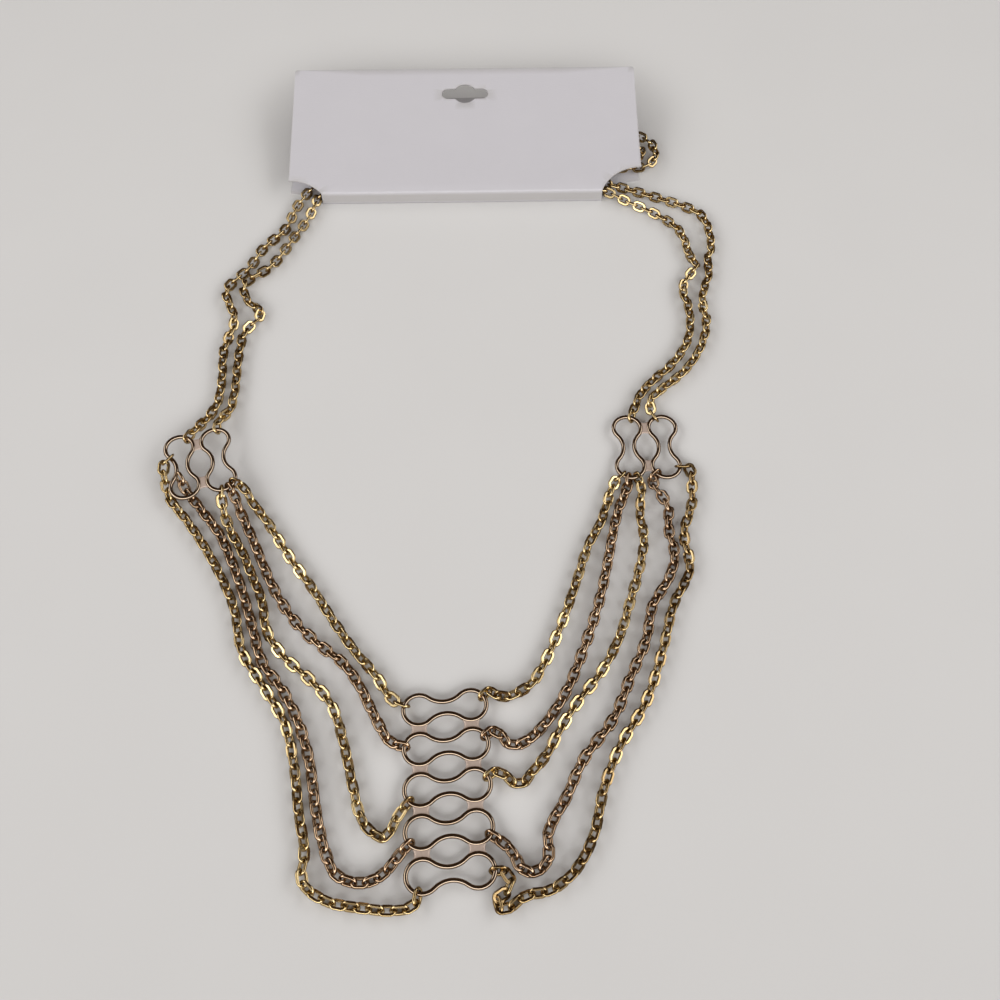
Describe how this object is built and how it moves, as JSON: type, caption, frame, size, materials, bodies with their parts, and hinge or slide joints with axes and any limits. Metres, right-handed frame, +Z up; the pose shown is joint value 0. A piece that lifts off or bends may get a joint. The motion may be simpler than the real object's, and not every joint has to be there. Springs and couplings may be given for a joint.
{
  "type": "multi strand necklace on display card",
  "caption": "Multi-strand chain necklace lying in an open loop, with a ladder of figure-of-eight wire loops at the front and side connectors, its chain ends held in a folded hang card.",
  "frame": {"origin": "middle of the whole lying object, on the table", "axes": "+X to the right, +Y from the necklace's front loops towards the display card, +Z up from the table"},
  "size_m": [0.1767, 0.2985, 0.0143],
  "materials": {
    "card": "smooth white card stock, faintly lilac, matte",
    "loops": "polished warm rose-brown gold plate",
    "round_links": "polished warm rose-brown gold plate",
    "flat_links": "polished pale yellow gold plate",
    "clasp": "polished gold plate"
  },
  "bodies": {
    "root": {"card": "card", "centre_ladder": "loops", "left_connector": "loops", "right_connector": "loops", "clasp": "clasp", "left_strand_1": "flat_links", "left_strand_2": "round_links", "left_strand_3": "flat_links", "left_strand_4": "round_links", "left_strand_5": "flat_links", "right_strand_1": "flat_links", "right_strand_2": "round_links", "right_strand_3": "flat_links", "right_strand_4": "round_links", "right_strand_5": "flat_links", "left_outer_chain": "flat_links", "left_inner_chain": "flat_links", "right_outer_chain": "flat_links", "right_inner_chain": "flat_links"}
  },
  "joints": []
}
